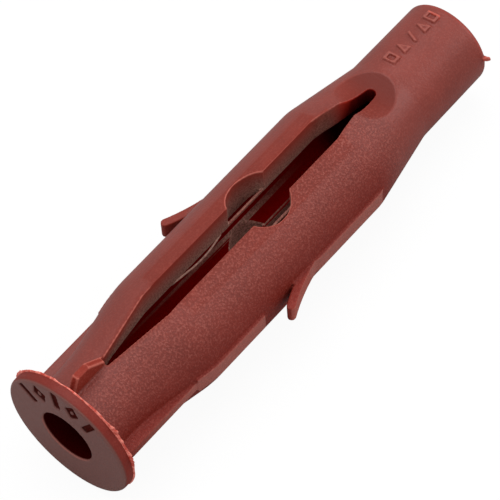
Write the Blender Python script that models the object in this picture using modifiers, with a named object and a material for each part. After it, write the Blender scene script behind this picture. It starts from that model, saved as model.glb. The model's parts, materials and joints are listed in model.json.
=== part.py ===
"""A plastic wall plug, lying on its side with its slot facing up.

The plug is one moulding. A wide collar leads into a sleeve, which widens into two legs parted by
a slot and narrows again to a tubular tip. Fins and ribs stop it from turning in its hole, and a
barb sweeps out from each leg towards the collar.

Its own frame has the collar's front face at 0 and the tip at +Y, the barbs at -X and +X and the
slot along Z. A station is a distance from the collar's front face. The parent empty tips the plug
by the small angle at which it lies on the collar's rim and on its legs, and centres it.
"""

import math

import bmesh
import bpy
from mathutils import Matrix, Vector

MM = 0.001

# Lengths along the plug, one after the other
COLLAR_THICKNESS = 1.2 * MM
SLEEVE_LENGTH = 4.6 * MM
SWELL_LENGTH = 8.6 * MM
LEG_LENGTH = 26.4 * MM
TAPER_LENGTH = 9.0 * MM
TIP_LENGTH = 10.2 * MM

# Radii of the turned outside
COLLAR_RADIUS = 7.41 * MM
SLEEVE_RADIUS = 5.0 * MM
LEG_RADIUS = 6.63 * MM
TIP_RADIUS = 5.0 * MM
TIP_DRAFT = 0.05 * MM

# Rounding of the outside
COLLAR_EDGE = 0.4 * MM
SWELL_START_BLEND = 25.0 * MM
SWELL_END_BLEND = 12.5 * MM
TAPER_START_BLEND = 5.0 * MM
TAPER_END_BLEND = 4.0 * MM
TIP_EDGE = 0.6 * MM

# The screw channel inside
MOUTH_RADIUS = 3.06 * MM
MOUTH_CHAMFER = 0.1 * MM
CHANNEL_RADIUS = 3.5 * MM
THROAT_RADIUS = 2.2 * MM
CHANNEL_STEP_LENGTH = 2.0 * MM
THROAT_TAPER_LENGTH = 8.0 * MM

# The slot between the legs
SLOT_WIDTH = 3.36 * MM
SLOT_NEAR_WIDTH = 0.8 * MM
SLOT_NEAR_SHIFT = -0.15 * MM
SLOT_NECK_WIDTH = 2.2 * MM
SLOT_FAR_WIDTH = 1.2 * MM
SLOT_INSET = 0.5 * MM
SLOT_TAPER_LENGTH = 3.1 * MM
SLOT_NECK_LENGTH = 4.2 * MM
SLOT_END_OFFSET = 6.2 * MM

# The round hole across the legs, bridged by a thin rail along each inner edge of the slot
HOLE_RADIUS = 3.22 * MM
HOLE_OFFSET = 14.95 * MM
RAIL_WIDTH = 0.3 * MM
RAIL_HEIGHT = 0.35 * MM

# The saddles across the slot's far end, rounded along the plug and lowest under the tip's radius
SADDLE_RADIUS = 6.2 * MM
SADDLE_OFFSET = 6.5 * MM
SADDLE_DEPTH = 0.37 * MM

# Fins on the sleeve
SIDE_FIN_THICKNESS = 1.2 * MM
SIDE_FIN_REACH = 6.29 * MM
TOP_FIN_THICKNESS = 0.78 * MM
TOP_FIN_SHIFT = -0.35 * MM
TOP_FIN_HEIGHT = 2.15 * MM
TOP_FIN_GAP = 0.4 * MM
TOP_FIN_RISE = 1.0 * MM
TOP_FIN_CREST = 1.7 * MM
TOP_FIN_END_HEIGHT = 0.65 * MM

# Ribs along the legs
RIB_WIDTH = 2.1 * MM
RIB_HEIGHT = 0.2 * MM
RIB_START_OFFSET = 6.2 * MM
RIB_END_GAP = 2.2 * MM
RIB_RUNOUT = 1.0 * MM

# Barbs, swept along an arc that starts inside the legs
BARB_ROOT_OFFSET = 4.6 * MM
BARB_ROOT_DEPTH = 0.34 * MM
BARB_ARC_RADIUS = 22.0 * MM
BARB_SWEEP = math.radians(26.9)
BARB_THICKNESS = 0.9 * MM
BARB_TIP_ROUND = 0.5 * MM
BARB_STEP_START = 3.65 * MM
BARB_STEP_LENGTH = 0.6 * MM

# The spur that is left where the moulding was broken from its gate
SPUR_REACH = 0.7 * MM
SPUR_LEAN = 0.48 * MM
SPUR_WIDTH = 0.5 * MM
SPUR_THICKNESS = 0.32 * MM
SPUR_ANGLE = math.radians(13.0)

# Fineness of round shapes
WELD_DISTANCE = 0.001 * MM
TURN_STEPS = 72
ARC_STEPS = 4
BARB_STEPS = 6

PLASTIC_COLOUR = (0.235, 0.06, 0.045, 1.0)
PLASTIC_ROUGHNESS = 0.45

# Stations
SLEEVE_START = COLLAR_THICKNESS
SWELL_START = SLEEVE_START + SLEEVE_LENGTH
LEG_START = SWELL_START + SWELL_LENGTH
TAPER_START = LEG_START + LEG_LENGTH
TIP_START = TAPER_START + TAPER_LENGTH
LENGTH = TIP_START + TIP_LENGTH
SLOT_START = SWELL_START + SLOT_INSET
HOLE_STATION = LEG_START + HOLE_OFFSET
BARB_ROOT = HOLE_STATION + BARB_ROOT_OFFSET
SLOT_END = TAPER_START + SLOT_END_OFFSET
SLOT_NECK = SLOT_END - SLOT_NECK_LENGTH
SLOT_WIDEST_END = SLOT_NECK - SLOT_TAPER_LENGTH
SADDLE_STATION = TAPER_START + SADDLE_OFFSET

# Sizes that follow from the others
TIP_END_RADIUS = TIP_RADIUS - TIP_DRAFT
TOP_FIN_REACH = SLEEVE_RADIUS + TOP_FIN_HEIGHT
WIDEST_RADIUS = max(COLLAR_RADIUS, LEG_RADIUS, TOP_FIN_REACH)
CUT_HALF_HEIGHT = 1.5 * WIDEST_RADIUS
WALL_CORE = (CHANNEL_RADIUS + min(SLEEVE_RADIUS, TIP_RADIUS)) / 2


def clear_scene():
    for thing in list(bpy.data.objects):
        bpy.data.objects.remove(thing, do_unlink=True)


def new_collection(name):
    collection = bpy.data.collections.new(name)
    bpy.context.scene.collection.children.link(collection)
    return collection


def plastic():
    material = bpy.data.materials.new("brown_red_plastic")
    material.use_nodes = True
    shader = material.node_tree.nodes["Principled BSDF"]
    shader.inputs["Base Color"].default_value = PLASTIC_COLOUR
    shader.inputs["Roughness"].default_value = PLASTIC_ROUGHNESS
    shader.inputs["Metallic"].default_value = 0.0
    return material


def corner_arc(before, corner, after, radius):
    """The arc that rounds off one corner, kept within half of each side that meets there."""
    back = before - corner
    ahead = after - corner
    half_angle = back.angle(ahead) / 2
    reach = min(radius / math.tan(half_angle), back.length / 2, ahead.length / 2)
    fitted = reach * math.tan(half_angle)
    back.normalize()
    ahead.normalize()
    centre = corner + (back + ahead).normalized() * (fitted / math.sin(half_angle))
    first = corner + back * reach - centre
    last = corner + ahead * reach - centre
    start = math.atan2(first.y, first.x)
    turn = math.remainder(math.atan2(last.y, last.x) - start, 2 * math.pi)
    angles = [start + turn * step / ARC_STEPS for step in range(ARC_STEPS + 1)]
    return [centre + fitted * Vector((math.cos(angle), math.sin(angle))) for angle in angles]


def rounded_outline(corners):
    """Outline points from corners given as across, along and the radius that rounds them."""
    outline = []
    for index, (across, along, radius) in enumerate(corners):
        corner = Vector((across, along))
        if radius == 0:
            outline.append(corner)
            continue
        before = Vector(corners[index - 1][:2])
        after = Vector(corners[(index + 1) % len(corners)][:2])
        outline += corner_arc(before, corner, after, radius)
    return outline


def finished_mesh(thing):
    """Replaces an object's mesh by its evaluated one, welded, with its faces pointing out."""
    graph = bpy.context.evaluated_depsgraph_get()
    mesh = bpy.data.meshes.new_from_object(thing.evaluated_get(graph))
    shape = bmesh.new()
    shape.from_mesh(mesh)
    bmesh.ops.remove_doubles(shape, verts=shape.verts, dist=WELD_DISTANCE)
    bmesh.ops.recalc_face_normals(shape, faces=shape.faces)
    shape.to_mesh(mesh)
    shape.free()
    return mesh


def place_mesh(name, mesh, matrix, collection):
    mesh.transform(matrix)
    mesh.name = name
    thing = bpy.data.objects.new(name, mesh)
    collection.objects.link(thing)
    return thing


def turned(name, outline, hollow, collection):
    """A solid turned about the plug's axis, from outline points of radius and station."""
    profile = bpy.data.meshes.new(name + "_profile")
    points = [(across, 0.0, along) for across, along in reversed(outline)]
    edges = [(index, index + 1) for index in range(len(points) - 1)]
    if hollow:
        edges.append((len(points) - 1, 0))
    profile.from_pydata(points, edges, [])
    spun = bpy.data.objects.new(name + "_profile", profile)
    collection.objects.link(spun)
    screw = spun.modifiers.new("turn", "SCREW")
    screw.axis = "Z"
    screw.steps = TURN_STEPS
    screw.render_steps = TURN_STEPS
    screw.use_merge_vertices = True
    screw.merge_threshold = 0.00001
    mesh = finished_mesh(spun)
    bpy.data.objects.remove(spun, do_unlink=True)
    return place_mesh(name, mesh, Matrix.Rotation(math.radians(-90), 4, "X"), collection)


def plate(name, outline, thickness, matrix, collection):
    """A flat outline given thickness on both sides of its plane, then placed by the matrix."""
    curve = bpy.data.curves.new(name + "_outline", "CURVE")
    curve.dimensions = "2D"
    curve.fill_mode = "BOTH"
    curve.extrude = thickness / 2
    spline = curve.splines.new("POLY")
    spline.points.add(len(outline) - 1)
    for point, (across, along) in zip(spline.points, outline):
        point.co = (across, along, 0.0, 1.0)
    spline.use_cyclic_u = True
    drawn = bpy.data.objects.new(name + "_outline", curve)
    collection.objects.link(drawn)
    mesh = finished_mesh(drawn)
    bpy.data.objects.remove(drawn, do_unlink=True)
    return place_mesh(name, mesh, matrix, collection)


def cylinder_cutter(name, radius, place, turn, collection):
    """A cylinder wider than the plug, standing at a place and turned about Y from upright."""
    bpy.ops.mesh.primitive_cylinder_add(
        vertices=TURN_STEPS, radius=radius, depth=2 * CUT_HALF_HEIGHT, location=place, rotation=(0, turn, 0)
    )
    cylinder = bpy.context.object
    cylinder.name = name
    for holder in cylinder.users_collection:
        holder.objects.unlink(cylinder)
    collection.objects.link(cylinder)
    return cylinder


def mirrored(thing, axis):
    """Gives a piece its twin on the other side of the plug's axis."""
    mirror = thing.modifiers.new("twin", "MIRROR")
    mirror.use_axis = tuple(letter == axis for letter in "XYZ")
    mirror.use_mirror_merge = False
    mirror.merge_threshold = 0.00001
    return thing


def combine(body, other, operation):
    """Joins another solid to the body, or cuts it away, and hides it as a construction shape."""
    boolean = body.modifiers.new(other.name, "BOOLEAN")
    boolean.operation = operation
    boolean.solver = "EXACT"
    boolean.object = other
    other.hide_render = True
    other.display_type = "WIRE"


def swell_radius(station):
    """The body's radius where it widens from the sleeve to the legs."""
    share = (station - SWELL_START) / SWELL_LENGTH
    return SLEEVE_RADIUS + share * (LEG_RADIUS - SLEEVE_RADIUS)


def turned_body(collection):
    """The outside and the screw channel, turned together as one wall."""
    corners = [
        (MOUTH_RADIUS, MOUTH_CHAMFER, 0.0),
        (MOUTH_RADIUS + MOUTH_CHAMFER, 0.0, 0.0),
        (COLLAR_RADIUS, 0.0, COLLAR_EDGE),
        (COLLAR_RADIUS, SLEEVE_START, 0.0),
        (SLEEVE_RADIUS, SLEEVE_START, 0.0),
        (SLEEVE_RADIUS, SWELL_START, SWELL_START_BLEND),
        (LEG_RADIUS, LEG_START, SWELL_END_BLEND),
        (LEG_RADIUS, TAPER_START, TAPER_START_BLEND),
        (TIP_RADIUS, TIP_START, TAPER_END_BLEND),
        (TIP_END_RADIUS, LENGTH, TIP_EDGE),
        (THROAT_RADIUS, LENGTH, 0.0),
        (THROAT_RADIUS, TAPER_START + THROAT_TAPER_LENGTH, 0.0),
        (CHANNEL_RADIUS, TAPER_START, 0.0),
        (CHANNEL_RADIUS, SWELL_START + CHANNEL_STEP_LENGTH, 0.0),
        (MOUTH_RADIUS, SWELL_START, 0.0),
    ]
    return turned("plug", rounded_outline(corners), True, collection)


def side_fins(collection):
    """Two plates along the sleeve, from the collar into the first ribs."""
    start = COLLAR_THICKNESS / 2
    end = SWELL_START + RIB_START_OFFSET + RIB_WIDTH / 4
    outline = [(WALL_CORE, start), (SIDE_FIN_REACH, start), (SIDE_FIN_REACH, end), (WALL_CORE, end)]
    fin = plate("side_fins", outline, SIDE_FIN_THICKNESS, Matrix(), collection)
    return mirrored(fin, "X")


def first_ribs(collection):
    """Two low ribs from the swell to just short of the barbs' tips."""
    start = SWELL_START + RIB_START_OFFSET
    end = BARB_ROOT - BARB_ARC_RADIUS * math.sin(BARB_SWEEP) - RIB_END_GAP
    corners = [
        (WALL_CORE, start, 0.0),
        (swell_radius(start) + RIB_HEIGHT, start, 0.0),
        (LEG_RADIUS + RIB_HEIGHT, LEG_START, SWELL_END_BLEND),
        (LEG_RADIUS + RIB_HEIGHT, end, 0.0),
        (WALL_CORE, end + RIB_HEIGHT, 0.0),
    ]
    rib = plate("first_ribs", rounded_outline(corners), RIB_WIDTH, Matrix(), collection)
    return mirrored(rib, "X")


def barb_point(angle, depth):
    """A point on the barb's arc, at an angle from its root and a depth inside its outer face."""
    reach = BARB_ARC_RADIUS + depth
    across = LEG_RADIUS - BARB_ROOT_DEPTH + BARB_ARC_RADIUS - reach * math.cos(angle)
    return (across, BARB_ROOT - reach * math.sin(angle))


def barb_side(first_angle, last_angle, depth):
    """One long side of a barb, from its first angle to its last."""
    step = (last_angle - first_angle) / BARB_STEPS
    return [barb_point(first_angle + step * index, depth) + (0.0,) for index in range(BARB_STEPS + 1)]


def barbed_ribs(collection):
    """Two ribs over the rest of the legs, each with its barb, that run out where the legs taper."""
    buried = (BARB_ARC_RADIUS + BARB_THICKNESS / 2) / (BARB_ARC_RADIUS + BARB_THICKNESS)
    step_foot = BARB_ROOT - BARB_STEP_START - BARB_STEP_LENGTH
    inner = barb_side(math.acos(buried), BARB_SWEEP, BARB_THICKNESS)
    outer = barb_side(BARB_SWEEP, math.asin((BARB_ROOT - step_foot) / BARB_ARC_RADIUS), 0.0)
    inner[-1] = inner[-1][:2] + (BARB_TIP_ROUND,)
    outer[0] = outer[0][:2] + (BARB_TIP_ROUND,)
    root_station = inner[0][1]
    corners = [(WALL_CORE, root_station, 0.0)] + inner + outer
    corners += [
        (LEG_RADIUS + RIB_HEIGHT, BARB_ROOT - BARB_STEP_START, 0.0),
        (LEG_RADIUS + RIB_HEIGHT, TAPER_START - RIB_RUNOUT, 0.0),
        (LEG_RADIUS, TAPER_START, 0.0),
        (WALL_CORE, TAPER_START, 0.0),
    ]
    rib = plate("barbed_ribs", rounded_outline(corners), RIB_WIDTH, Matrix(), collection)
    return mirrored(rib, "X")


def top_fins(collection):
    """Two thin fins by the collar, a little off the middle, sloping down to the slot's near end."""
    start = SLEEVE_START + TOP_FIN_GAP
    crest_start = start + TOP_FIN_RISE
    crest_end = crest_start + TOP_FIN_CREST
    slope = (TOP_FIN_HEIGHT - TOP_FIN_END_HEIGHT) / (SLOT_START - crest_end)
    foot = crest_end + (TOP_FIN_REACH - WALL_CORE) / slope
    crest = [(crest_start, TOP_FIN_REACH), (crest_end, TOP_FIN_REACH)]
    outline = [(start, WALL_CORE), (start, SLEEVE_RADIUS)] + crest + [(foot, WALL_CORE)]
    upright = Matrix.Rotation(math.radians(90), 4, "Z") @ Matrix.Rotation(math.radians(90), 4, "X")
    place = Matrix.Translation((TOP_FIN_SHIFT, 0, 0)) @ upright
    fin = plate("top_fins", outline, TOP_FIN_THICKNESS, place, collection)
    return mirrored(fin, "Z")


def gate_spur(collection):
    """The broken remnant of the gate on the edge of the tip."""
    base = LENGTH - TIP_EDGE
    point = TIP_END_RADIUS + SPUR_REACH
    outline = [
        (TIP_END_RADIUS - TIP_EDGE, base - SPUR_THICKNESS / 2),
        (TIP_END_RADIUS, base - SPUR_THICKNESS / 2),
        (point, base + SPUR_LEAN - SPUR_THICKNESS / 2),
        (point, base + SPUR_LEAN),
        (TIP_END_RADIUS - TIP_EDGE, base + SPUR_THICKNESS),
    ]
    around = Matrix.Rotation(-SPUR_ANGLE, 4, "Y")
    return plate("gate_spur", outline, SPUR_WIDTH, around, collection)


def slot(collection):
    """The slot through both legs, narrow at both ends and round at the far one."""
    end_radius = SLOT_FAR_WIDTH / 2
    near = [(SLOT_NEAR_SHIFT + side * SLOT_NEAR_WIDTH / 2, SLOT_START) for side in (-1, 1)]
    right = [
        (SLOT_WIDTH / 2, LEG_START - SLOT_INSET),
        (SLOT_WIDTH / 2, SLOT_WIDEST_END),
        (SLOT_NECK_WIDTH / 2, SLOT_NECK),
        (end_radius, SLOT_END),
    ]
    end = []
    for index in range(1, 2 * ARC_STEPS):
        angle = math.pi * index / (2 * ARC_STEPS)
        end.append((end_radius * math.cos(angle), SLOT_END + end_radius * math.sin(angle)))
    left = [(-across, along) for across, along in reversed(right)]
    return plate("slot", near + right + end + left, 2 * CUT_HALF_HEIGHT, Matrix(), collection)


def cross_hole(collection):
    """The hole through both sides, less the rail that bridges it along each leg's inner edge."""
    hole = cylinder_cutter("cross_hole", HOLE_RADIUS, (0, HOLE_STATION, 0), 0, collection)
    inner = SLOT_WIDTH / 4
    outer = SLOT_WIDTH / 2 + RAIL_WIDTH
    rail_top = math.sqrt(CHANNEL_RADIUS**2 - (SLOT_WIDTH / 2) ** 2) + RAIL_HEIGHT
    ends = (HOLE_STATION - 2 * HOLE_RADIUS, HOLE_STATION + 2 * HOLE_RADIUS)
    outline = [(inner, ends[0]), (outer, ends[0]), (outer, ends[1]), (inner, ends[1])]
    rails = mirrored(plate("rails", outline, 2 * rail_top, Matrix(), collection), "X")
    combine(hole, rails, "DIFFERENCE")
    return hole


def saddles(collection):
    """Two hollows across the slot's far end, above and below, where the plastic bends most."""
    height = TIP_RADIUS - SADDLE_DEPTH + SADDLE_RADIUS
    place = (0, SADDLE_STATION, height)
    saddle = cylinder_cutter("saddles", SADDLE_RADIUS, place, math.radians(90), collection)
    saddle.data.transform(saddle.matrix_basis)
    saddle.matrix_basis = Matrix()
    return mirrored(saddle, "Z")


def rest_pose():
    """The empty that lays the plug on its collar's rim and on the ends of its legs."""
    taper_share = (TAPER_START - SLOT_WIDEST_END) / SLOT_TAPER_LENGTH
    half_gap = (SLOT_WIDTH + taper_share * (SLOT_NECK_WIDTH - SLOT_WIDTH)) / 2
    leg_drop = math.sqrt(LEG_RADIUS**2 - half_gap**2)
    tilt = math.atan((COLLAR_RADIUS - leg_drop) / (TAPER_START - COLLAR_THICKNESS))
    height = COLLAR_RADIUS * math.cos(tilt) + COLLAR_THICKNESS * math.sin(tilt)
    nearest = -(COLLAR_RADIUS - COLLAR_EDGE) * math.sin(tilt)
    furthest = LENGTH * math.cos(tilt) + (TIP_END_RADIUS - TIP_EDGE) * math.sin(tilt)
    empty = bpy.data.objects.new("rest_pose", None)
    empty.empty_display_size = LENGTH / 4
    empty.rotation_euler = (-tilt, 0.0, 0.0)
    empty.location = (0.0, -(nearest + furthest) / 2, height)
    return empty


def build():
    clear_scene()
    plug_parts = new_collection("wall_plug")
    shapes = new_collection("construction_shapes")
    body = turned_body(plug_parts)
    added = [side_fins(shapes), first_ribs(shapes), barbed_ribs(shapes), top_fins(shapes), gate_spur(shapes)]
    removed = [slot(shapes), cross_hole(shapes), saddles(shapes)]
    for piece in added:
        combine(body, piece, "UNION")
    for piece in removed:
        combine(body, piece, "DIFFERENCE")
    body.data.materials.append(plastic())
    body.data.shade_smooth()
    body.data.set_sharp_from_angle(angle=math.radians(30))
    pose = rest_pose()
    plug_parts.objects.link(pose)
    for thing in [body, *shapes.objects]:
        thing.parent = pose


build()
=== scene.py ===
"""The looks of a plastic wall plug: one brown-red moulding, with its marks and its moulding flash.

Everything is placed in the plug's own frame, which the record's collar mount gives: across the
plug from barb to barb, along it from the collar's front face, and up through the slot. A station
is a distance along the plug.
"""

import json
import math

import bmesh
import bpy
import numpy as np
from bpy.props import FloatProperty, FloatVectorProperty, IntProperty, PointerProperty
from mathutils import Euler, Matrix, Vector, noise


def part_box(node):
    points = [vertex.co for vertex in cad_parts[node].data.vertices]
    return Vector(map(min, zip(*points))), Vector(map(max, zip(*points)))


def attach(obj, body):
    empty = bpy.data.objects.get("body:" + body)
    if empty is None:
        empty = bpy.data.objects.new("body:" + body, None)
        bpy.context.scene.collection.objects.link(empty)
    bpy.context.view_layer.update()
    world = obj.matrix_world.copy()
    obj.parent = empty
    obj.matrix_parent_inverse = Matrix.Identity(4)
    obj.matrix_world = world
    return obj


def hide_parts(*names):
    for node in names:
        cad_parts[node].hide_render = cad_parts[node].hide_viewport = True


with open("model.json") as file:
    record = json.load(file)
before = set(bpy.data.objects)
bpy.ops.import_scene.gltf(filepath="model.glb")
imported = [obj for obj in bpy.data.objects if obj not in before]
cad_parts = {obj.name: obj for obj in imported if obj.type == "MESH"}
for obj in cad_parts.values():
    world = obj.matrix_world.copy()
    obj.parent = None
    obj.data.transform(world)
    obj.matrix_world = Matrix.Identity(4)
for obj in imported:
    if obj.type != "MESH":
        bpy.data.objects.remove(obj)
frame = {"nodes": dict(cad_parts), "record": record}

bl_info = {
    "name": "Plastic Wall Plug",
    "version": (1, 0, 0),
    "blender": (4, 5, 0),
    "location": "View3D > Sidebar > Wall Plug",
    "description": "Makes a moulded wall plug with its marks, its flash and a white stage",
    "category": "Add Mesh",
}

MM = 0.001
NODE = "plug"
BODY = "root"


def mount_named(name):
    return next(mount for mount in frame["record"]["mounts"] if mount["name"] == name)


def plug_frame():
    """The plug's own frame: across, along from the collar's front face, and up through the slot."""
    mount = mount_named("collar_front")
    along = -Vector(mount["axis"]).normalized()
    across = Vector((1.0, 0.0, 0.0))
    matrix = Matrix((across, along, across.cross(along))).transposed().to_4x4()
    matrix.translation = (0.0, mount["pos_m"][1], mount["pos_m"][2])
    return matrix


def vertex_vectors(mesh, name):
    """Each vertex's place, which Blender names co, or its normal."""
    values = np.empty(len(mesh.vertices) * 3)
    mesh.vertices.foreach_get(name, values)
    return values.reshape(-1, 3)


def in_frame(points, matrix):
    """Points taken through a matrix."""
    turn = np.array(matrix.to_3x3())
    return points @ turn.T + np.array(matrix.translation)


PLUG = plug_frame()
SOLID_POINTS = in_frame(vertex_vectors(frame["nodes"][NODE].data, "co"), PLUG.inverted())
SOLID_STATIONS = SOLID_POINTS[:, 1]
SOLID_RADII = np.hypot(SOLID_POINTS[:, 0], SOLID_POINTS[:, 2])
LENGTH = SOLID_STATIONS.max()
COLLAR_THICKNESS = (PLUG.inverted() @ Vector(mount_named("collar_back")["pos_m"])).y
MEASURING_SLACK = 0.01 * MM
COLLAR_RADIUS = SOLID_RADII[SOLID_STATIONS < COLLAR_THICKNESS + MEASURING_SLACK].max()
BORE_RADIUS = SOLID_RADII[SOLID_STATIONS < COLLAR_THICKNESS].min()
LEGS_START = 0.3 * LENGTH
LEGS_END = 0.6 * LENGTH
BETWEEN_LEGS = (SOLID_STATIONS > LEGS_START) & (SOLID_STATIONS < LEGS_END)
CHANNEL_RADIUS = SOLID_RADII[BETWEEN_LEGS].min()

# The skin is bare in the sectors between the ribs at the sides and the slot and fins at the top.
LEAST_ACROSS_TO_UP = 0.7
LEAST_UP_TO_ACROSS = 0.6
LEAST_SKIN_RADIUS = 1.25 * BORE_RADIUS
STATION_DECIMALS = 6


def bare_skin():
    """Stations and radii of the turned outside, where no rib, fin or slot covers it."""
    across = np.abs(SOLID_POINTS[:, 0])
    up = np.abs(SOLID_POINTS[:, 2])
    bare = (across > LEAST_ACROSS_TO_UP * up) & (up > LEAST_UP_TO_ACROSS * across)
    bare &= SOLID_RADII > LEAST_SKIN_RADIUS
    stations = SOLID_STATIONS[bare].round(STATION_DECIMALS)
    radii = SOLID_RADII[bare]
    order = np.lexsort((-radii, stations))
    return stations[order], radii[order]


SKIN_STATIONS, SKIN_RADII = bare_skin()


def skin_radius(station):
    return np.interp(station, SKIN_STATIONS, SKIN_RADII)


class WALLPLUG_PG_moulding(bpy.types.PropertyGroup):
    """Sizes of what the moulding has beyond its solid"""

    voxel: FloatProperty(
        name="Voxel",
        description="Fineness at which the moulding's surface is rebuilt",
        default=0.09 * MM,
        unit="LENGTH",
    )
    rounding_steps: IntProperty(
        name="Rounding steps", description="How often smoothing rounds the surface's edges", default=5
    )
    triangles: IntProperty(
        name="Triangles", description="Triangles that the finished moulding keeps", default=190000
    )
    mark_stroke: FloatProperty(
        name="Mark stroke", description="Width of the collar marks' lines", default=0.5 * MM, unit="LENGTH"
    )
    mark_depth: FloatProperty(
        name="Mark depth", description="Depth of the collar's marks", default=0.4 * MM, unit="LENGTH"
    )
    mark_height: FloatProperty(
        name="Mark height", description="Height of the tip's marks", default=0.28 * MM, unit="LENGTH"
    )


class WALLPLUG_PG_flash(bpy.types.PropertyGroup):
    """Sizes of the thin flash round the collar's back edge"""

    reach: FloatProperty(
        name="Reach", description="How far the flash stands out on average", unit="LENGTH",
        default=0.12 * MM
    )
    flare: FloatProperty(
        name="Flare", description="Extra reach where the flash is torn", default=0.6 * MM, unit="LENGTH"
    )
    thickness: FloatProperty(
        name="Thickness", description="Thickness of the flash at its root", default=0.16 * MM, unit="LENGTH"
    )


class WALLPLUG_PG_plastic(bpy.types.PropertyGroup):
    """Colours and grain of the plastic"""

    skin: FloatVectorProperty(
        name="Skin", description="Colour of the outer skin", subtype="COLOR", size=3,
        default=(0.203, 0.027, 0.017)
    )
    lip: FloatVectorProperty(
        name="Lips", description="Colour where thin plastic lets light through", subtype="COLOR", size=3,
        default=(0.42, 0.045, 0.028)
    )
    # Painted highlight: the pale colour of light caught on sharp edges, on the ribs' outer faces and on the
    # flash.
    painted_highlight: FloatVectorProperty(
        name="Painted highlights", description="Colour of flash and of scuffed edges", subtype="COLOR", size=3,
        default=(0.58, 0.17, 0.13)
    )
    # Painted shade: the deeper red of the skin's downward sides and of the collar's rim band.
    underside_shade: FloatVectorProperty(
        name="Underside", description="Deeper colour of the skin that faces down", subtype="COLOR", size=3,
        default=(0.15, 0.009, 0.006)
    )
    speck: FloatVectorProperty(
        name="Specks", description="Colour of the grain's bright specks", subtype="COLOR", size=3,
        default=(0.42, 0.16, 0.125)
    )
    # The walls' own rough brown, lightened with painted light and a greyish painted sheen.
    wall: FloatVectorProperty(
        name="Walls", description="Colour of the slot's and the hole's walls", subtype="COLOR", size=3,
        default=(0.36, 0.19, 0.15)
    )
    # Painted shade: the walls darken towards the tip, where the slot narrows.
    far_wall: FloatVectorProperty(
        name="Far walls", description="Colour of the slot's walls towards the tip", subtype="COLOR", size=3,
        default=(0.28, 0.085, 0.06)
    )
    # Painted glow: the strong red of the walls where the slot ends, as light through thin plastic.
    end_wall: FloatVectorProperty(
        name="End walls", description="Colour of the walls where the slot ends", subtype="COLOR", size=3,
        default=(0.36, 0.018, 0.01)
    )
    # The front face's own dull brown with a painted greyish sheen, the reflection of the white floor.
    front: FloatVectorProperty(
        name="Front face", description="Colour of the collar's front", subtype="COLOR", size=3,
        default=(0.17, 0.058, 0.047)
    )
    # Painted shade: near black inside the collar's bore and at the slot's far end.
    bore_shade: FloatVectorProperty(
        name="Bore", description="Colour inside the collar and at the slot's far end", subtype="COLOR",
        size=3, default=(0.032, 0.0005, 0.0008)
    )
    # Painted shade: the deep red of the dark channel between the legs.
    channel: FloatVectorProperty(
        name="Channel", description="Colour of the channel between the legs", subtype="COLOR", size=3,
        default=(0.26, 0.001, 0.001)
    )
    grain: FloatProperty(
        name="Grain", description="Size of the spark-eroded grain", default=0.21 * MM, unit="LENGTH"
    )


class WALLPLUG_PG_stage(bpy.types.PropertyGroup):
    """The lamps, the floor and the camera's lens"""

    key_power: FloatProperty(
        name="Key power", description="Power of the main lamp", default=1.25, unit="POWER"
    )
    fill_power: FloatProperty(
        name="Fill power", description="Power of the second lamp", default=0.6, unit="POWER"
    )
    sky: FloatProperty(name="Sky", description="Strength of the light from all round", default=0.7)
    shadow_share: FloatProperty(
        name="Shadow", description="How strongly the floor shows the shadow", default=0.07, subtype="FACTOR"
    )
    lens: FloatProperty(
        name="Lens", description="Focal length in millimetres", default=230.4576, unit="CAMERA"
    )


class WALLPLUG_PG_settings(bpy.types.PropertyGroup):
    """All the plug's settings"""

    moulding: PointerProperty(type=WALLPLUG_PG_moulding)
    flash: PointerProperty(type=WALLPLUG_PG_flash)
    plastic: PointerProperty(type=WALLPLUG_PG_plastic)
    stage: PointerProperty(type=WALLPLUG_PG_stage)


class Number:
    """A socket that carries a number. Arithmetic on it adds Math nodes."""

    def __init__(self, graph, socket):
        self.graph = graph
        self.socket = socket

    def math(self, operation, *values):
        settings = {"operation": operation}
        return self.graph.node("ShaderNodeMath", settings, dict(enumerate(values)))

    def __add__(self, other):
        return self.math("ADD", self, other)

    def __radd__(self, other):
        return self.math("ADD", other, self)

    def __sub__(self, other):
        return self.math("SUBTRACT", self, other)

    def __rsub__(self, other):
        return self.math("SUBTRACT", other, self)

    def __mul__(self, other):
        return self.math("MULTIPLY", self, other)

    def __rmul__(self, other):
        return self.math("MULTIPLY", other, self)

    def between(self, low, high):
        """0 below the low value, 1 above the high one and smooth between them."""
        settings = {"interpolation_type": "SMOOTHSTEP"}
        values = {"Value": self, "From Min": low, "From Max": high}
        return self.graph.node("ShaderNodeMapRange", settings, values)


# The sockets that a Mix node uses for colours.
MIX_SHARE = 0
MIX_FIRST = 6
MIX_SECOND = 7
MIX_RESULT = 2
NOISE_DETAIL = 3.0


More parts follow.
